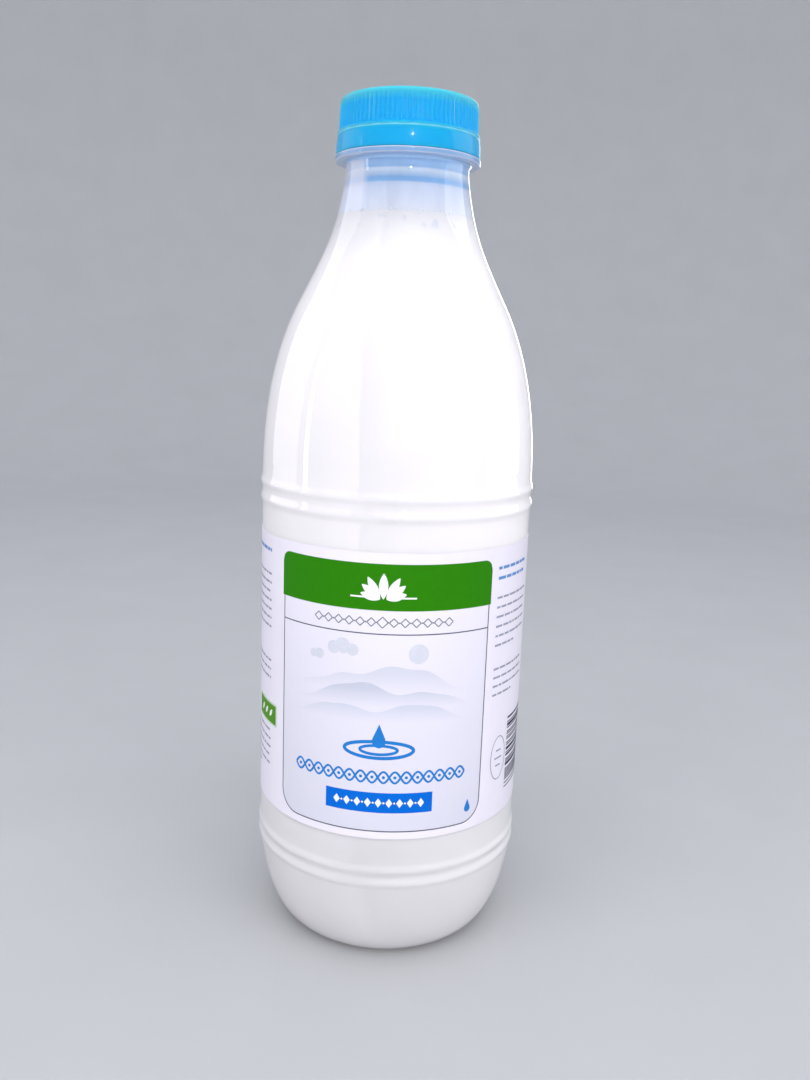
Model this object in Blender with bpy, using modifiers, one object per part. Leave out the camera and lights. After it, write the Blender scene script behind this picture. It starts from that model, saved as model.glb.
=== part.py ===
"""A one-litre clear plastic milk bottle: full, with a knurled screw cap, its tamper band and a wrap-round label.

Metres, +Z up. The origin is at the middle of the base, on the surface that the bottle stands on.
The front of the label faces -Y.
"""

import math

import bpy

# Fineness
SIDES = 40
SHOULDER_STEPS = 7
HEEL_STEPS = 7
PUSH_UP_STEPS = 4
BEAD_STEPS = 4
GAP = 0.0003
MERGE = 0.00005

# Body: plain cylinder, beads above and below the label, and the panel that the label lies in
BODY_RADIUS = 0.0415
UPPER_BEADS = (0.1427, 0.1378)
LOWER_BEADS = (0.0328, 0.0286)
BEAD_HEIGHT = 0.0005
BEAD_HALF_WIDTH = 0.0021
PANEL_RADIUS = 0.0410
PANEL_TOP = 0.1287
PANEL_BOTTOM = 0.0428
PANEL_STEP = 0.0006

# Shoulder: one curve up to a bend that leans in, and one on from there to the neck
SHOULDER_BOTTOM = 0.1448
SHOULDER_RISE = 0.0330
SHOULDER_BEND = (0.0300, 0.1978)
BEND_LEAN = 0.5
BEND_REACH_DOWN = 0.0045
BEND_REACH_UP = 0.0134
NECK_RADIUS = 0.0181
NECK_TOP = 0.2325
NECK_REACH = 0.0162
NECK_LEAN = 0.125

# Base: rounded heel, flat ring that it stands on, and a shallow push-up
HEEL_TOP = 0.0265
HEEL_DROP = 0.0144
HEEL_LEAN = 0.130
HEEL_REACH = 0.0078
STAND_OUTER = 0.0280
STAND_INNER = 0.0256
PUSH_UP = 0.0060

# Wall thickness of the blown body, and the bore of the moulded neck
WALL = 0.0005
BORE_RADIUS = 0.0164

# Neck finish, under the cap
RIM_TOP = 0.2505
FINISH_RADIUS = 0.0178
RING_RADIUS = 0.0213
RING_TOP = 0.2370
RING_THICKNESS = 0.0016
RING_ROUND = 0.0004

# Milk
MILK_LEVEL = 0.2204

# Label
LABEL_RADIUS = 0.0416
LABEL_THICKNESS = 0.0003
LABEL_TOP = 0.1282
LABEL_BOTTOM = 0.0433

# Cap
CAP_TOP = 0.2525
CAP_BOTTOM = 0.2428
CAP_TOP_RADIUS = 0.0200
CAP_BOTTOM_RADIUS = 0.0203
CAP_EDGE = 0.0010
CAP_INSIDE_RADIUS = 0.0190
CAP_ROOF = 0.0016
CAP_LEDGE_HEIGHT = 0.0007
CAP_LEDGE_RADIUS = 0.0207
KNURLS = 90
KNURL_DEPTH = 0.00035

# Tamper band
BAND_TOP = CAP_BOTTOM - GAP
BAND_BOTTOM = RING_TOP + GAP
BAND_TOP_RADIUS = 0.0207
BAND_BOTTOM_RADIUS = 0.0210
BAND_INSIDE_RADIUS = 0.0192


def clear_scene():
    """Removes what the scene holds, so that the script can be run again."""
    for thing in list(bpy.data.objects):
        bpy.data.objects.remove(thing, do_unlink=True)


def material(name, colour, roughness, alpha=1.0, transmission=0.0):
    """A plain Principled material."""
    made = bpy.data.materials.new(name)
    made.use_nodes = True
    shader = made.node_tree.nodes["Principled BSDF"]
    shader.inputs["Base Color"].default_value = (*colour, 1.0)
    shader.inputs["Metallic"].default_value = 0.0
    shader.inputs["Roughness"].default_value = roughness
    shader.inputs["Alpha"].default_value = alpha
    shader.inputs["Transmission Weight"].default_value = transmission
    return made


def bezier(start, start_handle, end_handle, end, steps):
    """Points along a cubic curve of (radius, height) pairs, both ends included."""
    points = []
    for step in range(steps + 1):
        t = step / steps
        weights = ((1 - t) ** 3, 3 * (1 - t) ** 2 * t, 3 * (1 - t) * t * t, t**3)
        corners = (start, start_handle, end_handle, end)
        points.append(tuple(sum(w * c[axis] for w, c in zip(weights, corners)) for axis in (0, 1)))
    return points


def bead(middle):
    """The rounded rib round the body at one height, from its top down to its foot."""
    points = []
    for step in range(BEAD_STEPS + 1):
        along = 1 - 2 * step / BEAD_STEPS
        swell = BEAD_HEIGHT * (1 + math.cos(math.pi * along)) / 2
        points.append((BODY_RADIUS + swell, middle + along * BEAD_HALF_WIDTH))
    return points


def shoulder():
    """The outside of the neck and shoulder, from the top down."""
    bend_r, bend_z = SHOULDER_BEND
    length = math.hypot(BEND_LEAN, 1)
    along_r, along_z = -BEND_LEAN / length, 1 / length
    upper = bezier(
        (NECK_RADIUS, NECK_TOP),
        (NECK_RADIUS + NECK_LEAN * NECK_REACH, NECK_TOP - NECK_REACH),
        (bend_r + BEND_REACH_UP * along_r, bend_z + BEND_REACH_UP * along_z),
        SHOULDER_BEND,
        SHOULDER_STEPS,
    )
    lower = bezier(
        SHOULDER_BEND,
        (bend_r - BEND_REACH_DOWN * along_r, bend_z - BEND_REACH_DOWN * along_z),
        (BODY_RADIUS, SHOULDER_BOTTOM + SHOULDER_RISE),
        (BODY_RADIUS, SHOULDER_BOTTOM),
        SHOULDER_STEPS,
    )
    return upper + lower[1:]


def heel():
    """The outside of the heel, from the body down to the ring that it stands on."""
    return bezier(
        (BODY_RADIUS, HEEL_TOP),
        (BODY_RADIUS - HEEL_LEAN * HEEL_DROP, HEEL_TOP - HEEL_DROP),
        (STAND_OUTER + HEEL_REACH, 0.0),
        (STAND_OUTER, 0.0),
        HEEL_STEPS,
    )


def push_up():
    """The underside's dome, from the ring that it stands on in to the axis."""
    return bezier(
        (STAND_INNER, 0.0),
        (STAND_INNER - PUSH_UP / 2, PUSH_UP / 2),
        (STAND_INNER / 2, PUSH_UP),
        (0.0, PUSH_UP),
        PUSH_UP_STEPS,
    )


def panel():
    """The recess that the label lies in, from its top step down to its bottom step."""
    return [
        (BODY_RADIUS, PANEL_TOP + PANEL_STEP),
        (PANEL_RADIUS, PANEL_TOP),
        (PANEL_RADIUS, PANEL_BOTTOM),
        (BODY_RADIUS, PANEL_BOTTOM - PANEL_STEP),
    ]


def inset(points, depth):
    """The same run of points moved in by a depth, which may change along it."""
    moved = []
    last = len(points) - 1
    for index, (radius, height) in enumerate(points):
        before = points[max(index - 1, 0)]
        after = points[min(index + 1, last)]
        run_r = after[0] - before[0]
        run_z = after[1] - before[1]
        length = math.hypot(run_r, run_z)
        here = depth(index / last)
        moved.append((radius + here * run_z / length, height - here * run_r / length))
    return moved


def inside():
    """The inside of the wall, from the shoulder's top down to the axis."""
    neck_wall = NECK_RADIUS - BORE_RADIUS
    upper = inset(shoulder(), lambda t: WALL + (neck_wall - WALL) * max(0.0, 1 - 4 * t))
    lower = inset(heel()[:-1], lambda t: WALL)
    floor = [(STAND_OUTER, WALL), (STAND_INNER, WALL)]
    dome = [(radius, height + WALL) for radius, height in push_up()[1:]]
    steps = [(radius - WALL, height) for radius, height in panel()]
    return upper + steps + lower + floor + dome


def bottle_profile():
    """The bottle's wall in section, from the inner floor round the rim and down the outside."""
    profile = list(reversed(inside()))
    profile += [(BORE_RADIUS, RIM_TOP), (FINISH_RADIUS, RIM_TOP), (FINISH_RADIUS, RING_TOP)]
    profile += [(RING_RADIUS - RING_ROUND, RING_TOP), (RING_RADIUS, RING_TOP - RING_ROUND)]
    profile += [(RING_RADIUS, RING_TOP - RING_THICKNESS), (NECK_RADIUS, NECK_TOP + RING_THICKNESS)]
    profile += shoulder()[:-1]
    profile += bead(UPPER_BEADS[0]) + bead(UPPER_BEADS[1]) + panel()
    profile += bead(LOWER_BEADS[0])[:-1] + bead(LOWER_BEADS[1])[:-1]
    profile += heel() + push_up()
    return profile


def radius_at(points, height):
    """The radius of a falling run of points at one height."""
    for (high_r, high_z), (low_r, low_z) in zip(points, points[1:]):
        if high_z >= height > low_z:
            return high_r + (low_r - high_r) * (high_z - height) / (high_z - low_z)
    return points[-1][0]


def milk_profile():
    """The milk, from the middle of its surface down the wall to the middle of the floor."""
    wall = inset(inside(), lambda t: GAP)
    surface = [(0.0, MILK_LEVEL), (radius_at(wall, MILK_LEVEL), MILK_LEVEL)]
    covered = [point for point in wall[:-1] if point[1] < MILK_LEVEL - WALL]
    return surface + covered + [(0.0, wall[-1][1])]


def turned(name, profile, sides, look, collection):
    """An object turned from a profile, which starts and ends on the axis or closes on itself."""
    mesh = bpy.data.meshes.new(name)
    count = len(profile)
    closed = profile[0][0] > 0
    edges = [(index, index + 1) for index in range(count - 1)]
    if closed:
        edges.append((count - 1, 0))
    mesh.from_pydata([(radius, 0.0, height) for radius, height in profile], edges, [])
    mesh.materials.append(look)
    made = bpy.data.objects.new(name, mesh)
    collection.objects.link(made)
    screw = made.modifiers.new("Turn", "SCREW")
    screw.axis = "Z"
    screw.angle = math.tau
    screw.steps = sides
    screw.render_steps = sides
    screw.use_merge_vertices = True
    screw.merge_threshold = MERGE
    screw.use_smooth_shade = True
    return made


def cap_profile():
    """The cap in section: roof, rounded edge, knurled skirt, ledge, and back up the inside."""
    ledge_top = CAP_BOTTOM + CAP_LEDGE_HEIGHT
    return [
        (0.0, CAP_TOP),
        (CAP_TOP_RADIUS - CAP_EDGE, CAP_TOP),
        (CAP_TOP_RADIUS - CAP_EDGE * 0.3, CAP_TOP - CAP_EDGE * 0.3),
        (CAP_TOP_RADIUS, CAP_TOP - CAP_EDGE),
        (CAP_BOTTOM_RADIUS, ledge_top),
        (CAP_LEDGE_RADIUS, ledge_top - (CAP_LEDGE_RADIUS - CAP_BOTTOM_RADIUS)),
        (CAP_LEDGE_RADIUS, CAP_BOTTOM),
        (CAP_INSIDE_RADIUS, CAP_BOTTOM),
        (CAP_INSIDE_RADIUS, CAP_TOP - CAP_ROOF),
        (0.0, CAP_TOP - CAP_ROOF),
    ]


def cut_knurls(cap):
    """Turns every second column of the skirt's outside in, which leaves one rib in each pitch."""
    graph = bpy.context.evaluated_depsgraph_get()
    mesh = bpy.data.meshes.new_from_object(cap.evaluated_get(graph))
    cap.modifiers.clear()
    cap.data = mesh
    skirt_ends = ((CAP_TOP_RADIUS, CAP_TOP - CAP_EDGE), (CAP_BOTTOM_RADIUS, CAP_BOTTOM + CAP_LEDGE_HEIGHT))
    for vertex in mesh.vertices:
        radius = math.hypot(vertex.co.x, vertex.co.y)
        on_skirt = any(abs(radius - r) < MERGE and abs(vertex.co.z - z) < MERGE for r, z in skirt_ends)
        column = round(math.atan2(vertex.co.y, vertex.co.x) / math.pi * KNURLS)
        if on_skirt and column % 2:
            vertex.co.x *= 1 - KNURL_DEPTH / radius
            vertex.co.y *= 1 - KNURL_DEPTH / radius


def band_profile():
    """The tamper band in section, flared a little to its foot."""
    return [
        (BAND_INSIDE_RADIUS, BAND_TOP),
        (BAND_TOP_RADIUS, BAND_TOP),
        (BAND_BOTTOM_RADIUS, BAND_BOTTOM + GAP),
        (BAND_BOTTOM_RADIUS - GAP, BAND_BOTTOM),
        (BAND_INSIDE_RADIUS, BAND_BOTTOM),
    ]


def label_profile():
    """The label in section."""
    inner = LABEL_RADIUS - LABEL_THICKNESS
    return [(inner, LABEL_TOP), (LABEL_RADIUS, LABEL_TOP), (LABEL_RADIUS, LABEL_BOTTOM), (inner, LABEL_BOTTOM)]


def build():
    clear_scene()
    parts = bpy.data.collections.new("plastic_milk_bottle")
    bpy.context.scene.collection.children.link(parts)
    clear_plastic = material("clear_plastic", (0.93, 0.95, 0.98), 0.08, alpha=0.35, transmission=0.9)
    milk_white = material("milk_white", (0.93, 0.91, 0.92), 0.35)
    cap_blue = material("cap_blue", (0.02, 0.33, 0.80), 0.35)
    band_blue = material("band_blue", (0.02, 0.36, 0.80), 0.3)
    label_white = material("label_white", (0.86, 0.86, 0.92), 0.45)
    turned("bottle", bottle_profile(), SIDES, clear_plastic, parts)
    turned("milk", milk_profile(), SIDES, milk_white, parts)
    turned("tamper_band", band_profile(), SIDES, band_blue, parts)
    turned("label", label_profile(), SIDES, label_white, parts)
    cut_knurls(turned("cap", cap_profile(), 2 * KNURLS, cap_blue, parts))


build()
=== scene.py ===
"""Looks of a full one-litre clear plastic milk bottle with a blue screw cap and a wrap-round printed label.

Metres, +Z up, the front of the label towards -Y. Label artwork is laid out flat in millimetres: u runs
round the label from its middle, to the right as seen from in front, and v is the height above ART_FOOT.
"""

import math
import random

import bpy
from mathutils import Matrix, Vector


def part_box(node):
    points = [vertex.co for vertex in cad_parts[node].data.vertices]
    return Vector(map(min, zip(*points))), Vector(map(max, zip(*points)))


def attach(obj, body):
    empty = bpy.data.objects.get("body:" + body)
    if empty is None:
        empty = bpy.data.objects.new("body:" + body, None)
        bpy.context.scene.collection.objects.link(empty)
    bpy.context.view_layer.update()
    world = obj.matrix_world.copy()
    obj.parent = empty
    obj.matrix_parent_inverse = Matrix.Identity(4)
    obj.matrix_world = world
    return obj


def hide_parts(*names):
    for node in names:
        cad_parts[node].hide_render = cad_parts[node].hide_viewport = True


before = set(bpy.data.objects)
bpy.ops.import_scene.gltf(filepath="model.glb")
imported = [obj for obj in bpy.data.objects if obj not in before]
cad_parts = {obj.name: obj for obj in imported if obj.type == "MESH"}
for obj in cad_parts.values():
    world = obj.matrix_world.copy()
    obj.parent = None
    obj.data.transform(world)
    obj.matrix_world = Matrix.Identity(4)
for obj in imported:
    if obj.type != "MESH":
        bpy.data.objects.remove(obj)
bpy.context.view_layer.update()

BODY = "root"
MM = 0.001

# Places read from the solids
LABEL_LOW, LABEL_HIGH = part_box("label")
CAP_LOW, CAP_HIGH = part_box("cap")
BAND_LOW, BAND_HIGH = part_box("tamper_band")
MILK_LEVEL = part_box("milk")[1][2]
LABEL_RADIUS = LABEL_HIGH[0]

# Body, as in the solids, but without the shallow panel that the label covers
BODY_RADIUS = 0.0415
BEADS = (0.1427, 0.1378, 0.0328, 0.0286)
BEAD_HEIGHT = 0.0005
BEAD_HALF_WIDTH = 0.0021
SHOULDER_BOTTOM = 0.1448
SHOULDER_RISE = 0.0330
SHOULDER_BEND = (0.0300, 0.1978)
BEND_LEAN = 0.5
BEND_REACH_DOWN = 0.0045
BEND_REACH_UP = 0.0134
NECK_RADIUS = 0.0181
NECK_TOP = 0.2325
NECK_REACH = 0.0162
NECK_LEAN = 0.125
HEEL_TOP = 0.0265
HEEL_DROP = 0.0144
HEEL_LEAN = 0.130
HEEL_REACH = 0.0078
STAND_OUTER = 0.0280
STAND_INNER = 0.0256
PUSH_UP = 0.0060

# Wall: thin where it was blown, thick from the neck up
WALL = 0.0004
BORE_RADIUS = 0.0164
THICK_FROM = 0.2315
THIN_FROM = 0.2270

# Milk: how far it reaches into the wall, and the froth and bubbles at its level
MILK_IN_WALL = 0.0002
FROTH_DEPTH = 0.006
BUBBLES = 120
BUBBLE_SIZES = (0.0002, 0.0006)

# Film of milk above the level, with painted light: a blue line of painted glow, a band of painted
# highlight, and a side of painted reflection
HAZE_TOP = 0.2385
HAZE_BLUE_LOW = 0.2285
HAZE_BLUE_HIGH = 0.2294
HAZE_HIGHLIGHT_HIGH = 0.2319
HAZE_REFLECTION_FROM = -0.0096
HAZE_REFLECTION_TO = -0.0112

# Neck finish
RIM_TOP = 0.2505
RIM_ROUND = 0.0003
FINISH_RADIUS = 0.0178
RING_RADIUS = 0.0213
RING_TOP = 0.2370
RING_THICKNESS = 0.0016
RING_ROOT = 0.0005
RING_BEND = 0.0012

# Cap and band
KNURLS = 90
KNURL_DEPTH = 0.00035
KNURL_SHARPNESS = 5
KNURL_FADE_LOW = 0.0004
KNURL_FADE_HIGH = 0.0012
CHAMFER = 0.0001
CAP_TOP_RADIUS = 0.0200
CAP_BOTTOM_RADIUS = 0.0203
CAP_EDGE = 0.0010
CAP_INSIDE_RADIUS = 0.0190
CAP_ROOF = 0.0016
DISH_DEPTH = 0.0002
DISH_FLOOR = 0.0155
DISH_EDGE = 0.0164
CAP_LEDGE_HEIGHT = 0.0007
CAP_LEDGE_RADIUS = 0.0207
LEDGE_ROUND = 0.00025
BAND_TOP_RADIUS = 0.0207
BAND_BOTTOM_RADIUS = 0.0210
BAND_INSIDE_RADIUS = 0.0192
BAND_SAG = 0.0002
BAND_BOW = 0.00012
BRIDGES = 24
BRIDGE_DEPTH = 0.0001

# Camera, fitted to the photograph
FOCAL_PIXELS = 959.75
IMAGE_HEIGHT = 1080
SENSOR = 36.0
CAMERA_DISTANCE = 0.2972
CAMERA_HEIGHT = 0.18385
CAMERA_AZIMUTH = 3.7
PITCH = -11.456
YAW = 0.604
ROLL = 2.0685


# Shapes

def bezier(start, start_handle, end_handle, end, steps):
    """Points along a cubic curve of (radius, height) pairs, both ends included."""
    corners = (start, start_handle, end_handle, end)
    points = []
    for step in range(steps + 1):
        t = step / steps
        weights = ((1 - t) ** 3, 3 * (1 - t) ** 2 * t, 3 * (1 - t) * t * t, t**3)
        points.append(tuple(sum(w * c[axis] for w, c in zip(weights, corners)) for axis in (0, 1)))
    return points


def arc(middle, radius, start, end, steps):
    """Points round part of a circle in the (radius, height) plane, angles in degrees from outward."""
    points = []
    for step in range(steps + 1):
        angle = math.radians(start + (end - start) * step / steps)
        points.append((middle[0] + radius * math.cos(angle), middle[1] + radius * math.sin(angle)))
    return points


def smooth(low, high, value):
    """0 below low, 1 above high, and an even curve between."""
    t = min(max((value - low) / (high - low), 0.0), 1.0)
    return t * t * (3 - 2 * t)


def beads(height):
    """How far the ribs round the body stand out at one height."""
    total = 0.0
    for middle in BEADS:
        away = abs(height - middle) / BEAD_HALF_WIDTH
        if away < 1:
            total += BEAD_HEIGHT * (1 + math.cos(math.pi * away)) / 2
    return total


def shoulder(steps):
    """The outside of the neck and shoulder, from the top down."""
    bend_r, bend_z = SHOULDER_BEND
    length = math.hypot(BEND_LEAN, 1)
    along_r, along_z = -BEND_LEAN / length, 1 / length
    upper = bezier(
        (NECK_RADIUS, NECK_TOP),
        (NECK_RADIUS + NECK_LEAN * NECK_REACH, NECK_TOP - NECK_REACH),
        (bend_r + BEND_REACH_UP * along_r, bend_z + BEND_REACH_UP * along_z),
        SHOULDER_BEND,
        steps,
    )
    lower = bezier(
        SHOULDER_BEND,
        (bend_r - BEND_REACH_DOWN * along_r, bend_z - BEND_REACH_DOWN * along_z),
        (BODY_RADIUS, SHOULDER_BOTTOM + SHOULDER_RISE),
        (BODY_RADIUS, SHOULDER_BOTTOM),
        steps,
    )
    return upper + lower[1:]


def body_outline():
    """The outside of the bottle from the neck down to the middle of the underside."""
    step = 0.0004
    count = round((SHOULDER_BOTTOM - HEEL_TOP) / step)
    straight = []
    for index in range(1, count):
        height = SHOULDER_BOTTOM + (HEEL_TOP - SHOULDER_BOTTOM) * index / count
        plain = LABEL_LOW[2] + step < height < LABEL_HIGH[2] - step
        if not plain or index % 12 == 0:
            straight.append((BODY_RADIUS + beads(height), height))
    heel = bezier(
        (BODY_RADIUS, HEEL_TOP),
        (BODY_RADIUS - HEEL_LEAN * HEEL_DROP, HEEL_TOP - HEEL_DROP),
        (STAND_OUTER + HEEL_REACH, 0.0),
        (STAND_OUTER, 0.0),
        24,
    )
    push_up = bezier(
        (STAND_INNER, 0.0),
        (STAND_INNER - PUSH_UP / 2, PUSH_UP / 2),
        (STAND_INNER / 2, PUSH_UP),
        (0.0, PUSH_UP),
        16,
    )
    return shoulder(28) + straight + heel + push_up


def inset(points, depth):
    """The same run of points moved in by a depth that may change with the height."""
    moved = []
    last = len(points) - 1
    for index, (radius, height) in enumerate(points):
        before = points[max(index - 1, 0)]
        after = points[min(index + 1, last)]
        run_r = after[0] - before[0]
        run_z = after[1] - before[1]
        length = math.hypot(run_r, run_z)
        here = depth(height)
        moved.append((max(radius + here * run_z / length, 0.0), height - here * run_r / length))
    moved[-1] = (0.0, moved[-1][1])
    return moved


def wall_at(height):
    """The wall's thickness at one height."""
    return WALL + (NECK_RADIUS - BORE_RADIUS - WALL) * smooth(THIN_FROM, THICK_FROM, height)


def inner_wall(outline):
    """The inside of the bottle from its rim down to the middle of the base."""
    blown = [point for point in inset(outline, wall_at) if point[1] < THICK_FROM]
    top = RIM_TOP - RIM_ROUND
    rows = 6
    neck = [(BORE_RADIUS, top + (THICK_FROM - top) * row / rows) for row in range(rows + 1)]
    return neck + blown


def radius_at(points, height):
    """The radius of a falling run of points at one height."""
    for (high_r, high_z), (low_r, low_z) in zip(points, points[1:]):
        if high_z >= height > low_z:
            return high_r + (low_r - high_r) * (high_z - height) / (high_z - low_z)
    return points[-1][0]


# Meshes

def mesh_piece(name, points, faces, look):
    """A smooth-shaded object from points and faces."""
    mesh = bpy.data.meshes.new(name)
    mesh.from_pydata(points, [], faces)
    mesh.validate()
    mesh.shade_smooth()
    mesh.materials.append(look)
    piece = bpy.data.objects.new(name, mesh)
    bpy.context.scene.collection.objects.link(piece)
    return piece


def turned(name, profile, sides, look, shape=None, sharp=None, other=None):
    """A piece turned round the axis from a profile, closed on the axis or on itself.

    shape takes (radius, height, angle) and returns the radius there. other is a second material with a
    test that takes (radius, height) and says where it goes.
    """
    closed = profile[0][0] > 0
    points = []
    rows = []
    for radius, height in profile:
        if radius <= 0:
            rows.append([len(points)] * sides)
            points.append((0.0, 0.0, height))
            continue
        rows.append(list(range(len(points), len(points) + sides)))
        for side in range(sides):
            angle = math.tau * side / sides
            here = shape(radius, height, angle) if shape else radius
            points.append((here * math.cos(angle), here * math.sin(angle), height))
    ends = list(profile)
    if closed:
        rows.append(rows[0])
        ends.append(profile[0])
    faces = []
    slots = []
    for index, (upper, lower) in enumerate(zip(rows, rows[1:])):
        second = bool(other) and other[1](*ends[index]) and other[1](*ends[index + 1])
        for side in range(sides):
            after = (side + 1) % sides
            corners = (upper[side], lower[side], lower[after], upper[after])
            faces.append(tuple(dict.fromkeys(corners)))
            slots.append(int(second))
    piece = mesh_piece(name, points, faces, look)
    if other:
        piece.data.materials.append(other[0])
        piece.data.polygons.foreach_set("material_index", slots)
    if sharp:
        piece.data.set_sharp_from_angle(angle=math.radians(sharp))
    return piece


def place(piece, slot, *nodes):
    """Sets a piece on the bottle and hides the nodes it stands for.

    slot is not used.
    """
    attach(piece, BODY)
    if nodes:
        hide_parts(*nodes)
    return piece


# Materials

def linear(red, green, blue):
    """A colour given as 0 to 255 on screen, as the shader's linear values."""
    values = []
    for part in (red, green, blue):
        share = part / 255
        values.append(share / 12.92 if share <= 0.04045 else ((share + 0.055) / 1.055) ** 2.4)
    return (*values, 1.0)


def grey(value):
    """A grey, as the shader's linear values. 0 is black and 1 is white."""
    return (value, value, value, 1.0)


CAP_BLUE = linear(22, 172, 244)
BAND_BLUE = linear(22, 172, 228)
# Pale blue painted as the glow of the thin edges of cap and band
CAP_PAINTED_GLOW = linear(72, 196, 212)

# Gloss of the label's film and of the tints printed on it
FILM_SHEEN = {"Coat_Weight": 0.15, "Coat_Roughness": 0.15}

# The range that most of a noise's values lie in
NOISE_LOW = 0.3
NOISE_HIGH = 0.7


class Look:
    """A Principled material, with short calls for the nodes that feed it."""

    def __init__(self, name, colour, **values):
        self.material = bpy.data.materials.new(name)
        self.material.use_nodes = True
        self.tree = self.material.node_tree
        self.shader = self.tree.nodes["Principled BSDF"]
        self.shader.inputs["Base Color"].default_value = colour
        for key, value in values.items():
            self.shader.inputs[key.replace("_", " ")].default_value = value
        self.place = self.node("ShaderNodeTexCoord").outputs["Object"]

    def node(self, kind, inputs=None, **settings):
        """Adds a node. Each input takes a number, a colour or another node's output."""
        made = self.tree.nodes.new(kind)
        for key, value in settings.items():
            setattr(made, key, value)
        for key, value in (inputs or {}).items():
            if isinstance(value, bpy.types.NodeSocket):
                self.tree.links.new(value, made.inputs[key])
            else:
                made.inputs[key].default_value = value
        return made

    def feed(self, socket, value):
        """Feeds one input of the shader from another node's output."""
        self.tree.links.new(value, self.shader.inputs[socket])

    def noise(self, scale, detail=3.0, stretch=(1.0, 1.0, 1.0)):
        """Noise over the object, features about 1 / scale metres across."""
        mapped = self.node("ShaderNodeMapping", {"Vector": self.place, "Scale": stretch})
        sockets = {"Vector": mapped.outputs[0], "Scale": scale, "Detail": detail}
        return self.node("ShaderNodeTexNoise", sockets).outputs[0]

    def ramp(self, value, *stops):
        """Colours along a value, as (position, colour) stops."""
        made = self.node("ShaderNodeValToRGB", {"Fac": value})
        elements = made.color_ramp.elements
        while len(elements) < len(stops):
            elements.new(0.5)
        for element, (position, colour) in zip(elements, stops):
            element.position = position
            element.color = colour
        return made.outputs[0]

    def between(self, value, low, high, to_low=0.0, to_high=1.0):
        """Maps a value from one range onto another."""
        sockets = {"Value": value, "From Min": low, "From Max": high, "To Min": to_low, "To Max": to_high}
        return self.node("ShaderNodeMapRange", sockets).outputs[0]

    def blend(self, share, first, second, how="MIX"):
        """Two colours mixed by a share. Each is a colour or another node's output."""
        sockets = {0: share, 6: first, 7: second}
        return self.node("ShaderNodeMix", sockets, data_type="RGBA", blend_type=how).outputs[2]

    def maths(self, how, first, second, clamp=False):
        """Two values added, multiplied and so on."""
        made = self.node("ShaderNodeMath", {0: first, 1: second}, operation=how, use_clamp=clamp)
        return made.outputs[0]

    def height(self, low, high):
        """0 at one height and 1 at another."""
        split = self.node("ShaderNodeSeparateXYZ", {"Vector": self.place})
        return self.between(split.outputs["Z"], low, high)

    def bands(self, low, high, *stops):
        """Colours by height between two heights, as (height, colour) stops."""
        shares = [((height - low) / (high - low), colour) for height, colour in stops]
        return self.ramp(self.height(low, high), *shares)

    def bump(self, value, depth):
        """Relief from a value, with its depth in metres."""
        relief = self.node("ShaderNodeBump", {"Height": value, "Strength": 1.0, "Distance": depth})
        self.feed("Normal", relief.outputs[0])


def grained(name, colour, spread, scale, roughness, depth=0.0, **values):
    """A material whose colour and roughness vary a little with a fine grain."""
    look = Look(name, colour, **values)
    darker = tuple(c * (1 - spread) for c in colour[:3]) + (1.0,)
    lighter = tuple(min(c * (1 + spread), 1.0) for c in colour[:3]) + (1.0,)
    grain = look.noise(scale)
    swing = 0.04
    look.feed("Base Color", look.ramp(grain, (NOISE_LOW, darker), (NOISE_HIGH, lighter)))
    look.feed("Roughness", look.between(grain, NOISE_LOW, NOISE_HIGH, roughness - swing, roughness + swing))
    if depth:
        look.bump(grain, depth)
    return look


def clear_plastic():
    """Blown PET: clear and glossy, its surface slightly wavy."""
    tint = (0.985, 0.99, 1.0, 1.0)
    look = Look("clear_plastic", tint, Roughness=0.02, IOR=1.575, Transmission_Weight=1.0)
    look.bump(look.noise(70.0, detail=2.0, stretch=(1.0, 1.0, 0.5)), 0.00006)
    return look.material


def ring_plastic():
    """The moulded support ring and the bend under it: a little cloudy.

    Its blue is painted light of the cap, lighter under the ring to lift its shade, and each edge is paler
    with a painted highlight.
    """
    tint = (0.4, 0.6, 0.9, 1.0)
    look = Look("clear_plastic_ring", tint, Roughness=0.08, IOR=1.5, Transmission_Weight=0.35)
    pale = (0.80, 0.86, 1.0, 1.0)
    blue = (0.34, 0.56, 0.88, 1.0)
    under = (0.44, 0.64, 0.92, 1.0)
    ring_low = RING_TOP - RING_THICKNESS
    foot = ring_low - RING_BEND
    # Painted light by height: painted cap blue, a lighter painted blue underneath, and painted edge
    # highlights.
    colour = look.bands(
        foot,
        RING_TOP,
        (foot, under),
        (ring_low - 0.0001, under),
        (ring_low + 0.0001, pale),
        (ring_low + 0.0004, blue),
        (RING_TOP - 0.0005, blue),
        (RING_TOP - 0.0002, pale),
    )
    drift = look.ramp(look.noise(500.0), (NOISE_LOW, (0.95, 0.96, 0.98, 1.0)), (NOISE_HIGH, grey(1.0)))
    look.feed("Base Color", look.blend(1.0, colour, drift, "MULTIPLY"))
    return look.material


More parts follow.
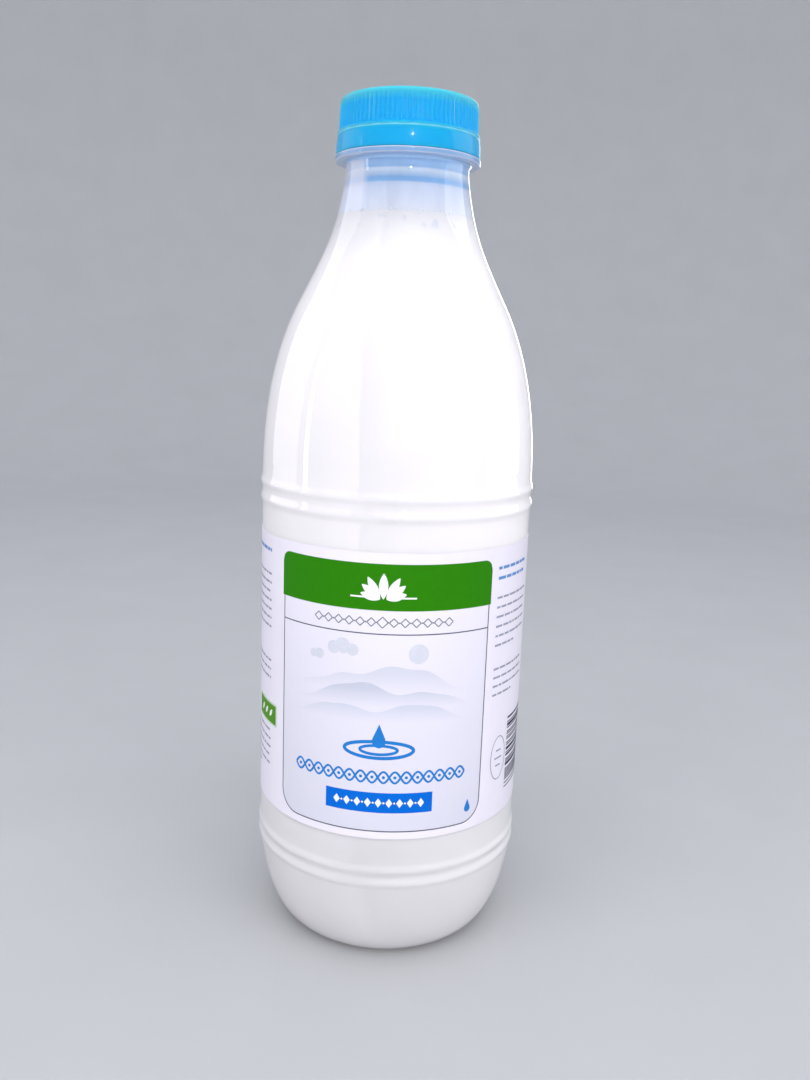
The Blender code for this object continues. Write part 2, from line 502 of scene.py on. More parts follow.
def milk_white():
    """Milk: a soft warm white, greyer at its level, with faint spots of froth near the level.

    Its greyer foot is painted shade.
    """
    white = (0.90, 0.875, 0.895, 1.0)
    froth = (0.62, 0.64, 0.72, 1.0)
    look = Look("milk_white", white, Roughness=0.4)
    # Colour by height: the darker stops at the foot are painted shade.
    tone_with_painted_foot_shade = look.ramp(
        look.height(0.0, MILK_LEVEL),
        (0.0, (0.82, 0.80, 0.82, 1.0)),
        (0.17, (0.79, 0.77, 0.79, 1.0)),
        (0.30, white),
        (0.94, white),
        (0.985, (0.78, 0.77, 0.80, 1.0)),
        (1.0, (0.70, 0.70, 0.74, 1.0)),
    )
    drift = look.ramp(look.noise(60.0), (NOISE_LOW, (0.975, 0.975, 0.98, 1.0)), (NOISE_HIGH, grey(1.0)))
    even = look.blend(1.0, tone_with_painted_foot_shade, drift, "MULTIPLY")
    spots = look.between(look.noise(380.0, detail=1.0), 0.56, 0.66, 0.0, 0.7)
    near_level = look.ramp(
        look.height(MILK_LEVEL - FROTH_DEPTH, MILK_LEVEL),
        (0.15, grey(0.0)),
        (0.4, grey(1.0)),
        (0.75, grey(1.0)),
        (0.92, grey(0.0)),
    )
    look.feed("Base Color", look.blend(look.maths("MULTIPLY", spots, near_level), even, froth))
    return look.material


def milk_haze():
    """The film of milk left on the inside of the neck: white below, bluer and thinner above the step.

    Its blue is painted glow of the cap and band, with a darker blue line of painted glow and a pale band of
    painted highlight near the step. On the left a painted reflection makes it whiter and more opaque.
    """
    look = Look("milk_haze", (0.64, 0.70, 0.86, 1.0), Roughness=0.5)
    white, blue = (0.70, 0.735, 0.83, 1.0), (0.60, 0.68, 0.86, 1.0)
    painted_blue_glow, light = (0.28, 0.52, 0.86, 1.0), (0.46, 0.63, 0.88, 1.0)
    pale, thin = (0.70, 0.82, 0.98, 1.0), (0.37, 0.60, 0.93, 1.0)
    # Painted light by height: painted blue glow of the cap and band, and a pale band of painted highlight.
    colour = look.bands(
        MILK_LEVEL,
        HAZE_TOP,
        (MILK_LEVEL, white),
        (HAZE_BLUE_LOW - 0.0006, blue),
        (HAZE_BLUE_LOW, painted_blue_glow),
        (HAZE_BLUE_HIGH, painted_blue_glow),
        (HAZE_BLUE_HIGH + 0.0006, light),
        (HAZE_HIGHLIGHT_HIGH - 0.0005, pale),
        (HAZE_HIGHLIGHT_HIGH, pale),
        (HAZE_HIGHLIGHT_HIGH + 0.0005, thin),
    )
    cover = look.bands(
        MILK_LEVEL,
        HAZE_TOP,
        (MILK_LEVEL, grey(0.93)),
        (HAZE_HIGHLIGHT_HIGH, grey(0.86)),
        (HAZE_HIGHLIGHT_HIGH + 0.0008, grey(0.80)),
        (RING_TOP - RING_THICKNESS - 0.0016, grey(0.95)),
    )
    # Painted reflection on the left side: whiter and more opaque there.
    side = look.node("ShaderNodeSeparateXYZ", {"Vector": look.place}).outputs["X"]
    painted_side_reflection = look.between(side, HAZE_REFLECTION_FROM, HAZE_REFLECTION_TO, 0.0, 0.75)
    look.feed("Base Color", look.blend(painted_side_reflection, colour, (0.70, 0.73, 0.86, 1.0)))
    painted_side_cover = look.between(side, HAZE_REFLECTION_FROM, HAZE_REFLECTION_TO, 0.0, 0.2)
    streaks = look.noise(240.0, detail=4.0, stretch=(1.0, 1.0, 0.25))
    uneven = look.between(streaks, NOISE_LOW, NOISE_HIGH, -0.07, 0.05)
    look.feed("Alpha", look.maths("ADD", cover, look.maths("ADD", uneven, painted_side_cover), clamp=True))
    return look.material


def cap_blue(name, main, painted_glow_foot, painted_glow_edge):
    """Coloured polypropylene that lets some light through.

    A painted glow pales it where its foot and its top edge thin. painted_glow_foot and painted_glow_edge
    are (low, high) heights. The colour is plain between the first one's upper end and the second one's
    lower end.
    """
    look = Look(
        name,
        main,
        Coat_Weight=0.3,
        Coat_Roughness=0.1,
        IOR=1.45,
        Specular_IOR_Level=0.15,
        Subsurface_Weight=0.6,
        Subsurface_Radius=(0.0006, 0.0016, 0.0030),
        Subsurface_Scale=1.0,
    )
    foot, plain_low = painted_glow_foot
    plain_high, top = painted_glow_edge
    plain, pale = grey(0.0), grey(1.0)
    # Painted glow: pale at the foot and top edge, on the outside only.
    thin = look.bands(foot, top, (foot, pale), (plain_low, plain), (plain_high, plain), (top, pale))
    flat = look.node("ShaderNodeVectorMath", {0: look.place, 1: (1.0, 1.0, 0.0)}, operation="MULTIPLY")
    reach = look.node("ShaderNodeVectorMath", {0: flat.outputs[0]}, operation="LENGTH").outputs["Value"]
    outside = look.between(reach, CAP_TOP_RADIUS - 0.0035, CAP_TOP_RADIUS - 0.0006)
    look.feed("Base Color", look.blend(look.maths("MULTIPLY", thin, outside), main, CAP_PAINTED_GLOW))
    grain = look.noise(900.0)
    look.feed("Roughness", look.between(grain, NOISE_LOW, NOISE_HIGH, 0.3, 0.4))
    look.bump(grain, 0.00002)
    return look.material


def label_film():
    """White printed film, faintly violet, with a low sheen."""
    white = (0.92, 0.87, 0.98, 1.0)
    look = grained("label_film", white, 0.01, 300.0, roughness=0.38, depth=0.000008, **FILM_SHEEN)
    return look.material


def ink(name, colour):
    """Printed ink, slightly uneven."""
    return grained(name, colour, 0.03, 700.0, roughness=0.42, Specular_IOR_Level=0.06).material


def panel_tone(look):
    """The front panel's tint by height, paler at the top and grey violet at the foot."""
    upright = look.height(art_height(PANEL_FOOT), art_height(HEADER_LOW))
    return look.ramp(upright, (0.0, linear(224, 222, 237)), (1.0, linear(242, 237, 250)))


def panel_ink():
    """The front panel's ink, with its tint by height."""
    look = Look("ink_panel", linear(236, 236, 248), Roughness=0.4, **FILM_SHEEN)
    look.feed("Base Color", panel_tone(look))
    return look.material


# Bottle, milk, cap and band

def neck_finish():
    """The outside of the neck from its rim down past the support ring."""
    ring_round = RING_THICKNESS / 4
    ring_low = RING_TOP - RING_THICKNESS
    root = RING_TOP + RING_ROOT
    rim = arc((FINISH_RADIUS - RIM_ROUND, RIM_TOP - RIM_ROUND), RIM_ROUND, 90, 0, 4)
    bend_out = arc((FINISH_RADIUS + RING_ROOT, root), RING_ROOT, 180, 270, 4)
    ring = arc((RING_RADIUS - ring_round, RING_TOP - ring_round), ring_round, 90, 0, 5)
    ring += arc((RING_RADIUS - ring_round, ring_low + ring_round), ring_round, 0, -90, 5)
    foot = arc((NECK_RADIUS + RING_BEND, ring_low - RING_BEND), RING_BEND, 90, 180, 6)
    return rim + bend_out + ring + foot


def make_bottle():
    """The clear wall, with its cloudier ring. Returns its outside below the ring, and its inside."""
    outline = body_outline()
    inner = inner_wall(outline)
    profile = list(reversed(inner)) + [(BORE_RADIUS + RIM_ROUND, RIM_TOP)] + neck_finish() + outline
    ring_foot = RING_TOP - RING_THICKNESS - RING_BEND
    slack = 0.0001

    def on_ring(radius, height):
        return radius > NECK_RADIUS + slack / 10 and ring_foot - slack < height < RING_TOP + slack

    piece = turned("bottle_wall", profile, 180, clear_plastic(), other=(ring_plastic(), on_ring))
    piece.visible_shadow = False
    place(piece, "clear_plastic", "bottle")
    return outline, inner


def make_milk(outline):
    """The milk up to its level, its side a little way into the wall, so that no gap shows."""
    wall = inset(outline, lambda height: MILK_IN_WALL)
    edge = radius_at(wall, MILK_LEVEL)
    top = [(0.0, MILK_LEVEL)] + [(edge * share, MILK_LEVEL) for share in (0.3, 0.6, 0.85, 0.95, 1.0)]
    side = [point for point in wall if point[1] < MILK_LEVEL - 0.0001]
    place(turned("milk_fill", top + side, 120, milk_white(), sharp=40), "milk", "milk")


def make_haze(inner):
    """A thin skin of milk on the neck's inside, above the level, set just into the wall."""
    film = 0.00012
    foot = MILK_LEVEL - 0.0004
    rows = 30
    outer = []
    for row in range(rows + 1):
        height = HAZE_TOP + (foot - HAZE_TOP) * row / rows
        outer.append((radius_at(inner, height) + film / 2, height))
    skin = [(radius - film, height) for radius, height in reversed(outer)]
    place(turned("milk_haze", outer + skin, 120, milk_haze()), "milk")


def on_sphere(tilt, turn):
    """A point of the unit sphere, tilted from straight up and turned round the axis."""
    return Vector((math.sin(tilt) * math.cos(turn), math.sin(tilt) * math.sin(turn), math.cos(tilt)))


def make_bubbles(inner):
    """Small bubbles where the milk's surface meets the wall."""
    chance = random.Random(7)
    look = grained("froth", (0.72, 0.74, 0.80, 1.0), 0.04, 500.0, roughness=0.25).material
    points = []
    faces = []
    rings, sides = 5, 12
    for _ in range(BUBBLES):
        size = chance.uniform(*BUBBLE_SIZES)
        angle = chance.uniform(0, math.tau)
        height = MILK_LEVEL - chance.uniform(-0.3, 0.9) * size
        away = radius_at(inner, height) - size * 0.35
        middle = Vector((away * math.cos(angle), away * math.sin(angle), height))
        first = len(points)
        for ring in range(rings + 1):
            for side in range(sides):
                points.append(middle + size * on_sphere(math.pi * ring / rings, math.tau * side / sides))
        for ring in range(rings):
            for side in range(sides):
                a = first + ring * sides + side
                b = first + ring * sides + (side + 1) % sides
                faces.append((a, a + sides, b + sides, b))
    place(mesh_piece("froth", points, faces, look), "milk")


def make_cap():
    """The screw cap, hollow, with a shallow dish on top, a knurled skirt and a ledge at its foot."""
    top = CAP_HIGH[2]
    foot = CAP_LOW[2]
    skirt_top = top - CAP_EDGE
    skirt_foot = foot + CAP_LEDGE_HEIGHT

    def knurled(radius, height, angle):
        if radius < CAP_TOP_RADIUS - CHAMFER or not skirt_foot <= height <= skirt_top:
            return radius
        run_out = smooth(skirt_foot, skirt_foot + KNURL_FADE_LOW, height)
        run_out *= smooth(skirt_top, skirt_top - KNURL_FADE_HIGH, height)
        ridge = abs(math.cos(angle * KNURLS / 2)) ** KNURL_SHARPNESS
        return radius - KNURL_DEPTH * run_out * (1 - ridge)

    dish = top - DISH_DEPTH
    profile = [(0.0, dish), (DISH_FLOOR / 2, dish), (DISH_FLOOR, dish), (DISH_EDGE, top)]
    profile += arc((CAP_TOP_RADIUS - CAP_EDGE, skirt_top), CAP_EDGE, 90, 2, 10)
    rows = 22
    for row in range(rows + 1):
        share = row / rows
        height = skirt_top + (skirt_foot - skirt_top) * share
        profile.append((CAP_TOP_RADIUS + (CAP_BOTTOM_RADIUS - CAP_TOP_RADIUS) * share, height))
    profile += arc((CAP_LEDGE_RADIUS - LEDGE_ROUND, skirt_foot - LEDGE_ROUND), LEDGE_ROUND, 90, 0, 4)
    profile += [(CAP_LEDGE_RADIUS, foot + CHAMFER), (CAP_LEDGE_RADIUS - CHAMFER, foot)]
    inside_top = top - CAP_ROOF
    profile += [(CAP_INSIDE_RADIUS, foot), (CAP_INSIDE_RADIUS, inside_top), (0.0, inside_top)]
    # Heights of the painted glow at the cap's foot and top edge
    painted_glow_foot = (foot + 0.0001, foot + 0.0005)
    painted_glow_edge = (top - 0.0032, top - 0.0008)
    look = cap_blue("cap_blue", CAP_BLUE, painted_glow_foot, painted_glow_edge)
    place(turned("cap_shell", profile, 8 * KNURLS, look, knurled, sharp=50), "cap_plastic", "cap")


def make_band():
    """The tamper band, slightly bowed, and low enough to hide the gap over the support ring."""
    top = BAND_HIGH[2]
    foot = BAND_LOW[2] - BAND_SAG
    high = top - CHAMFER
    low = foot + 2 * CHAMFER
    rows = 8
    profile = [(BAND_INSIDE_RADIUS, top), (BAND_TOP_RADIUS - CHAMFER, top)]
    for row in range(rows + 1):
        share = row / rows
        lean = BAND_TOP_RADIUS + (BAND_BOTTOM_RADIUS - BAND_TOP_RADIUS) * share
        profile.append((lean + BAND_BOW * math.sin(math.pi * share), high + (low - high) * share))
    profile += [(BAND_BOTTOM_RADIUS - CHAMFER, foot + CHAMFER / 2), (BAND_INSIDE_RADIUS, foot)]
    # The band's painted glow along its foot and its top edge
    look = cap_blue("band_blue", BAND_BLUE, (foot, foot + 0.0001), (top - 0.0003, top))
    place(turned("band_ring", profile, 180, look, sharp=50), "band_plastic", "tamper_band")


def make_score():
    """The scored line that joins the band to the cap until it is first opened.

    Its pale blue is a painted glow of the thin plastic there.
    """
    low, high = BAND_HIGH[2] - CHAMFER, CAP_LOW[2] + CHAMFER
    inside = CAP_INSIDE_RADIUS + 0.0003
    outside = BAND_TOP_RADIUS - 0.00006
    profile = [(inside, high), (outside, high), (outside, low), (inside, low)]
    # Pale blue painted as the glow of the thin plastic between cap and band
    look = grained("score_painted_glow", linear(108, 206, 248), 0.03, 900.0, roughness=0.35).material

    def bridged(radius, height, angle):
        if radius < outside:
            return radius
        return radius - BRIDGE_DEPTH * smooth(-0.2, 0.6, math.cos(angle * BRIDGES))

    place(turned("score_line", profile, 240, look, bridged, sharp=50), "band_plastic")


# Label

# Height of one layer of ink, and how far a stroke rises along its length, in layers
INK = 0.00002
STROKE_RISE = 0.6

# Height of the artwork's lower edge above the floor
ART_FOOT = 0.0025


def art_height(v):
    """A height in the artwork as a height above the floor."""
    return ART_FOOT + v * MM


def around(u, v, layer):
    """A point of the flat artwork, put on the label's outside."""
    angle = u * MM / LABEL_RADIUS
    radius = LABEL_RADIUS + layer * INK
    return (radius * math.sin(angle), -radius * math.cos(angle), art_height(v))


def make_label():
    """The film: once round with an overlap at the back."""
    film = 0.00009
    lap = 8.0
    lap_rise = (172.0, 179.0)
    columns, rows = 250, 24
    low, high = LABEL_LOW[2], LABEL_HIGH[2]
    points = []
    for skin in (0.0, -film):
        for column in range(columns + 1):
            degrees = -180.0 + (360.0 + lap) * column / columns
            lift = (film + INK) * smooth(*lap_rise, degrees)
            angle = math.radians(degrees)
            radius = LABEL_RADIUS + skin + lift
            for row in range(rows + 1):
                height = low + (high - low) * row / rows
                points.append((radius * math.sin(angle), -radius * math.cos(angle), height))
    inner = (columns + 1) * (rows + 1)
    faces = []

    def at(column, row):
        return column * (rows + 1) + row

    def close(first, second, flip):
        edge = (first, inner + first, inner + second, second)
        faces.append(tuple(reversed(edge)) if flip else edge)

    for column in range(columns):
        for row in range(rows):
            quad = (at(column, row), at(column + 1, row), at(column + 1, row + 1), at(column, row + 1))
            faces.append(quad)
            faces.append(tuple(inner + corner for corner in reversed(quad)))
        close(at(column, 0), at(column + 1, 0), False)
        close(at(column, rows), at(column + 1, rows), True)
    for row in range(rows):
        close(at(0, row + 1), at(0, row), False)
        close(at(columns, row + 1), at(columns, row), True)
    piece = mesh_piece("label_sheet", points, faces, label_film())
    piece.data.set_sharp_from_angle(angle=math.radians(40))
    place(piece, "label_film", "label")


class Print:
    """One colour of the label's print, collected as flat shapes and then wrapped round the film."""

    def __init__(self, layer):
        self.layer = layer
        self.points = []
        self.faces = []

    def strip(self, us, low, high):
        """The area between two lines v = low(u) and v = high(u)."""
        first = len(self.points)
        for u in us:
            self.points.append(around(u, low(u), self.layer))
            self.points.append(around(u, high(u), self.layer))
        for index in range(len(us) - 1):
            a = first + 2 * index
            self.faces.append((a, a + 2, a + 3, a + 1))

    def box(self, left, right, bottom, top):
        """A filled rectangle."""
        self.strip(steps(left, right), lambda u: bottom, lambda u: top)

    def ribbon(self, path, width, closed=False):
        """A stroke along a path. width takes 0 to 1 along it and returns millimetres.

        The stroke rises a little on its way, so that it can cross itself.
        """
        count = len(path)
        first = len(self.points)
        for index, (u, v) in enumerate(path):
            before = path[(index - 1) % count] if closed else path[max(index - 1, 0)]
            after = path[(index + 1) % count] if closed else path[min(index + 1, count - 1)]
            run_u, run_v = after[0] - before[0], after[1] - before[1]
            length = math.hypot(run_u, run_v) or 1.0
            along = index / (count - 1)
            half = width(along) / 2
            side_u, side_v = -run_v / length * half, run_u / length * half
            lift = self.layer + STROKE_RISE * along
            self.points.append(around(u - side_u, v - side_v, lift))
            self.points.append(around(u + side_u, v + side_v, lift))
        for index in range(count if closed else count - 1):
            a = first + 2 * index
            b = first + 2 * ((index + 1) % count)
            self.faces.append((a, b, b + 1, a + 1))

    def line(self, start, end, width):
        """A straight stroke with square ends."""
        self.ribbon(between(start, end), lambda t: width)

    def dot(self, u, v, radius):
        """A filled circle."""
        count = 12
        self.ribbon(
            [(u - radius * math.cos(math.pi * step / count), v) for step in range(count + 1)],
            lambda t: 2 * radius * math.sqrt(max(1 - math.cos(math.pi * t) ** 2, 0.0)),
        )

    def leaf(self, u, v, length, width, degrees):
        """A pointed leaf from its stalk to its tip."""
        angle = math.radians(degrees)
        count = 16
        path = []
        for step in range(count + 1):
            away = length * step / count
            path.append((u + away * math.cos(angle), v + away * math.sin(angle)))
        self.ribbon(path, lambda t: width * max(math.sin(math.pi * t), 0.0) ** 0.8)

    def drop(self, u, v, radius, height):
        """A drop with its point up. u and v are the middle of its round part."""
        lean = math.asin(radius / height)
        touch_u, touch_v = radius * math.cos(lean), radius * math.sin(lean)

        def low(x):
            return v - math.sqrt(max(radius**2 - (x - u) ** 2, 0.0))

        def high(x):
            away = abs(x - u)
            if away < touch_u:
                return v + height - (height - touch_v) * away / touch_u
            return v + math.sqrt(max(radius**2 - away**2, 0.0))

        self.strip(steps(u - radius, u + radius, radius / 10), low, high)

    def diamond(self, u, v, width, height):
        """A filled diamond."""
        def rise(x):
            return height / 2 * (1 - abs(x - u) / (width / 2))

        self.strip((u - width / 2, u, u + width / 2), lambda x: v - rise(x), lambda x: v + rise(x))

    def piece(self, name, look):
        """Makes the collected shapes one object on the label."""
        place(mesh_piece(name, self.points, self.faces, look), "label_film")


def steps(start, end, step=1.0):
    """Values from start to end in even steps of about a millimetre."""
    count = max(1, math.ceil(abs(end - start) / step))
    return [start + (end - start) * index / count for index in range(count + 1)]


def between(start, end):
    """Points along a straight line, close enough to follow the label round."""
    count = max(1, math.ceil(math.dist(start, end)))
    return [tuple(a + (b - a) * index / count for a, b in zip(start, end)) for index in range(count + 1)]


def corner(middle, radius, start, end):
    """Points round a corner of the flat artwork."""
    return arc(middle, radius, start, end, 8)


def ring_round(u, v, half_width, half_height):
    """An oval as a closed path."""
    turns = [math.tau * step / 60 for step in range(60)]
    return [(u + half_width * math.cos(turn), v + half_height * math.sin(turn)) for turn in turns]


def plait(sheet, left, right, middle, height, twists, width):
    """Two strands wound round each other, with a dot in each eye."""
    count = 24 * twists
    for strand in (0, 1):
        path = []
        for index in range(count + 1):
            turn = math.pi * twists * index / count
            swing = math.sin(turn) if strand else -math.sin(turn)
            path.append((left + (right - left) * index / count, middle + height / 2 * swing))
        sheet.ribbon(path, lambda t: width)
    for eye in range(twists):
        sheet.dot(left + (right - left) * (eye + 0.5) / twists, middle, width * 0.75)


# Small print, millimetres
WORD_LENGTHS = (1.0, 4.2)
SHORTEST_WORD = 0.6
WORD_GAP = 0.55
LAST_ROW_SHARE = 0.55


def text_rows(sheet, left, right, top, rows, pitch, height, seed, short_last=True):
    """Rows of plain dashes where a label has small print."""
    chance = random.Random(seed)
    for row in range(rows):
        v = top - row * pitch - height / 2
        share = LAST_ROW_SHARE if short_last and row == rows - 1 else 1.0
        end = left + (right - left) * share
        u = left
        while u < end - SHORTEST_WORD:
            word = min(chance.uniform(*WORD_LENGTHS), end - u)
            sheet.line((u, v), (u + word, v), height)
            u += word + WORD_GAP


# Front panel, millimetres
PANEL_HALF = 32.8
PANEL_FOOT = 43.2
PANEL_CORNER = 6.5
HEADER_HALF = 33.5
HEADER_LOW = 109.4
HEADER_HIGH = 122.6
HEADER_CORNER = 3.0
RULE = 102.6


def make_panel():
    """The tinted panel, its thin frame line and the rule under the header."""
    sheet = Print(1)
    columns = steps(-PANEL_HALF, PANEL_HALF, 0.5)

    def foot(u):
        into = abs(u) - (PANEL_HALF - PANEL_CORNER)
        if into <= 0:
            return PANEL_FOOT
        return PANEL_FOOT + PANEL_CORNER - math.sqrt(max(PANEL_CORNER**2 - into**2, 0.0))

    sheet.strip(columns, foot, lambda u: HEADER_LOW)
    sheet.piece("print_panel", panel_ink())

    lines = Print(2)
    bend = PANEL_HALF - PANEL_CORNER
    path = between((-PANEL_HALF, HEADER_LOW), (-PANEL_HALF, PANEL_FOOT + PANEL_CORNER))
    path += corner((-bend, PANEL_FOOT + PANEL_CORNER), PANEL_CORNER, 180, 270)
    path += between((-bend, PANEL_FOOT), (bend, PANEL_FOOT))
    path += corner((bend, PANEL_FOOT + PANEL_CORNER), PANEL_CORNER, -90, 0)
    path += between((PANEL_HALF, PANEL_FOOT + PANEL_CORNER), (PANEL_HALF, HEADER_LOW))
    lines.ribbon(path, lambda t: 0.36)
    lines.line((-PANEL_HALF, RULE), (PANEL_HALF, RULE), 0.34)
    lines.piece("print_frame", ink("ink_grey_line", linear(96, 98, 112)))


def make_header():
    """The green block across the top of the panel, with a sprig of leaves in white."""
    sheet = Print(3)

    def head(u):
        into = abs(u) - (HEADER_HALF - HEADER_CORNER)
        if into <= 0:
            return HEADER_HIGH
        return HEADER_HIGH - HEADER_CORNER + math.sqrt(max(HEADER_CORNER**2 - into**2, 0.0))

    sheet.strip(steps(-HEADER_HALF, HEADER_HALF, 0.5), lambda u: HEADER_LOW, head)
    sheet.piece("print_header", ink("ink_green", linear(45, 131, 8)))

    sprig = Print(4)
    middle = (HEADER_LOW + HEADER_HIGH) / 2
    ground = middle - 2.9
    root = middle - 3.4
    for side in (-1, 1):
        sprig.line((side * 1.8, ground), (side * 9.3, ground), 0.5)
        for index, reach in enumerate((7.2, 6.6, 5.8)):
            tilt = 90 - side * (30 + 22 * index)
            sprig.leaf(side * 0.9, root, reach, 2.3, tilt)
    sprig.leaf(0.0, root, 7.4, 2.6, 90)
    sprig.piece("print_sprig", ink("ink_white", linear(246, 248, 246)))


def make_divider():
    """A fine grey ornament between header and picture: open diamonds on a string of dots."""
    sheet = Print(2)
    middle, half, count = 106.0, 19.0, 13
    small, large = 1.25, 1.6
    pitch = 2 * half / (count - 1)
    for index in range(count):
        u = -half + index * pitch
        size = large if index == count // 2 else small
        corners = ((u - size, middle), (u, middle + size), (u + size, middle), (u, middle - size))
        for start, end in zip(corners, corners[1:] + corners[:1]):
            sheet.line(start, end, 0.3)
        if index < count - 1:
            sheet.dot(u + pitch / 2, middle, 0.24)
    sheet.piece("print_divider", ink("ink_grey", linear(128, 130, 140)))


def make_picture():
    """A pale picture of misty hills under a low sun. Each hill fades into the panel at its foot.

    A hill is its foot, its height, the swing, rate and shift of its crest's wave, and its colour.
    """
    half = 29.0
    hills = (
        (85.0, 6.5, 1.6, 0.16, 0.6, (216, 216, 230)),
        (81.0, 5.6, 1.5, 0.21, 3.0, (204, 206, 222)),
        (76.5, 4.8, 1.3, 0.18, 5.2, (212, 214, 230)),
    )
    for index, (foot, rise, swing, rate, shift, shade) in enumerate(hills):
        def crest(u, foot=foot, rise=rise, swing=swing, rate=rate, shift=shift):
            ends = smooth(half, half * 0.35, abs(u))
            waves = swing * math.sin(rate * u + shift) + 0.5 * math.sin(0.47 * u + shift)
            return foot + 0.05 + ends * (rise + waves)

        sheet = Print(2 + index * 0.5)
        sheet.strip(steps(-half, half, 0.5), lambda u: foot, crest)
        look = Look(f"ink_hill_{index}", linear(*shade), Roughness=0.42, **FILM_SHEEN)
        share = look.height(art_height(foot), art_height(foot + rise))
        look.feed("Base Color", look.blend(share, panel_tone(look), linear(*shade)))
        sheet.piece(f"print_hill_{index}", look.material)

    sky = Print(2)
    sun = (10.5, 97.0, 2.9)
    left_cloud = ((-20.5, 94.8, 1.2), (-18.6, 95.0, 1.5))
    right_cloud = ((-14.0, 97.6, 1.9), (-11.2, 98.4, 2.3), (-8.3, 97.5, 1.8))
    for u, v, radius in (sun, *right_cloud, *left_cloud):
        sky.dot(u, v, radius)
    sky.piece("print_sky", ink("ink_pale_grey", linear(218, 219, 230)))


def make_strokes():
    """A blue drop over its ripples, a plait, a blue badge with a row of diamonds, and a small drop."""
    blue = Print(2)
    ripple = 68.3
    for half, stroke in ((10.0, 1.0), (5.4, 0.85)):
        blue.ribbon(ring_round(0.0, ripple, half, half * 0.25), lambda t: stroke, closed=True)
    blue.drop(0.0, ripple + 2.6, 2.0, 5.2)
    plait(blue, -26.4, 26.4, 60.0, 3.4, 16, 0.62)
    blue.drop(28.2, 47.6, 1.1, 3.0)
    blue.piece("print_waves", ink("ink_blue", linear(40, 128, 208)))

    left, right, low, high = -15.5, 16.2, 49.0, 55.2
    badge = Print(2)
    badge.box(left, right, low, high)
    badge.piece("print_badge", ink("ink_badge", linear(6, 108, 216)))
    light = Print(3)
    count, pitch = 9, 3.1
    middle = (low + high) / 2
    for index in range(count):
        u = (left + right) / 2 + (index - count // 2) * pitch
        light.diamond(u, middle, 2.0, 2.8)
        if index < count - 1:
            light.dot(u + pitch / 2, middle, 0.3)
    light.piece("print_badge_diamonds", ink("ink_badge_white", linear(244, 248, 252)))


def make_small_print():
    """Blocks of small print, an oval mark and a table, round the sides and back.

    A block is its left, right and top, its rows and their pitch, and the height of its dashes.
    """
    grey_print = Print(2)
    blocks = (
        (36.5, 56.0, 111.0, 6, 2.9, 0.62),
        (36.5, 56.0, 89.2, 4, 2.7, 0.62),
        (-72.0, -41.0, 114.0, 8, 2.7, 0.62),
        (-72.0, -41.0, 87.2, 4, 2.7, 0.62),
        (-64.0, -41.0, 64.8, 6, 2.7, 0.62),
        (68.0, 96.0, 111.0, 10, 2.7, 0.6),
        (68.0, 96.0, 60.0, 5, 2.7, 0.6),
        (102.0, 126.0, 111.0, 7, 2.7, 0.6),
        (102.0, 126.0, 84.0, 9, 2.7, 0.6),
        (-127.0, -109.0, 111.0, 12, 2.7, 0.6),
    )
    for seed, block in enumerate(blocks, start=11):
        text_rows(grey_print, *block, seed)
    oval_u, oval_v, gap = 41.5, 59.8, 2.4
    grey_print.ribbon(ring_round(oval_u, oval_v, 4.0, 6.9), lambda t: 0.3, closed=True)
    for v, half in ((oval_v + gap, 1.3), (oval_v, 2.0), (oval_v - gap, 1.3)):
        grey_print.line((oval_u - half, v), (oval_u + half, v), 0.5)
    make_table(grey_print, -104.0, -80.0, 54.0, 114.0, 12)
    grey_print.piece("print_small", ink("ink_small_print", linear(158, 161, 180)))


def make_titles():
    """Blue titles over the small print: a block's values, and whether its last row is short."""
    blue = Print(2)
    titles = (
        (36.5, 54.0, 120.0, 2, 3.0, 0.9, False),
        (-72.0, -41.0, 121.4, 2, 3.2, 0.95, True),
        (68.0, 92.0, 118.6, 1, 3.0, 1.0, False),
        (-104.0, -84.0, 118.6, 1, 3.0, 1.0, False),
    )
    for seed, (*block, short_last) in enumerate(titles, start=21):
        text_rows(blue, *block, seed, short_last)
    blue.piece("print_titles", ink("ink_title_blue", linear(104, 150, 208)))


def make_bars():
    """A block of dark bars of uneven thickness."""
    chance = random.Random(31)
    bars = Print(2)
    left, right, low, high = 46.6, 61.5, 48.0, 71.8
    v = low
    while v < high - 0.2:
        bar = chance.choice((0.38, 0.38, 0.66, 0.94))
        bars.box(left, right, v, min(v + bar, high))
        v += bar + chance.choice((0.3, 0.3, 0.6, 0.9))
    bars.piece("print_bars", ink("ink_bars", linear(32, 36, 62)))


def make_mark():
    """A small green mark with a pale border and three leaves."""
    left, right, low, high = -51.8, -37.5, 67.2, 73.2
    border = 0.6
    pale = Print(2)
    pale.box(left - border, right + border, low - border, high + border)
    pale.piece("print_mark_border", ink("ink_mark_border", linear(206, 222, 200)))
    mark = Print(3)
    mark.box(left, right, low, high)
    mark.piece("print_mark", ink("ink_mark_green", linear(82, 148, 26)))
    leaves = Print(4)
    length = 3.4
    for index in range(3):
        leaves.leaf(left + 3.2 + length * index, low + 1.8, length, 1.3, 52)
    leaves.piece("print_mark_leaves", ink("ink_mark_white", linear(244, 248, 240)))


def make_table(sheet, left, right, low, high, rows):
    """A ruled table with dashes in its cells."""
    chance = random.Random(41)
    pitch = (high - low) / rows
    rule, dash, inset_left, inset_right = 0.22, 0.7, 1.2, 1.4
    for row in range(rows + 1):
        sheet.line((left, low + row * pitch), (right, low + row * pitch), rule)
    for u in (left, left + (right - left) * 0.62, right):
        sheet.line((u, low), (u, high), rule)
    for row in range(rows):
        v = low + (row + 0.5) * pitch
        sheet.line((left + inset_left, v), (left + chance.uniform(6.0, 12.5), v), dash)
        sheet.line((right - chance.uniform(4.0, 7.0), v), (right - inset_right, v), dash)


# Stage

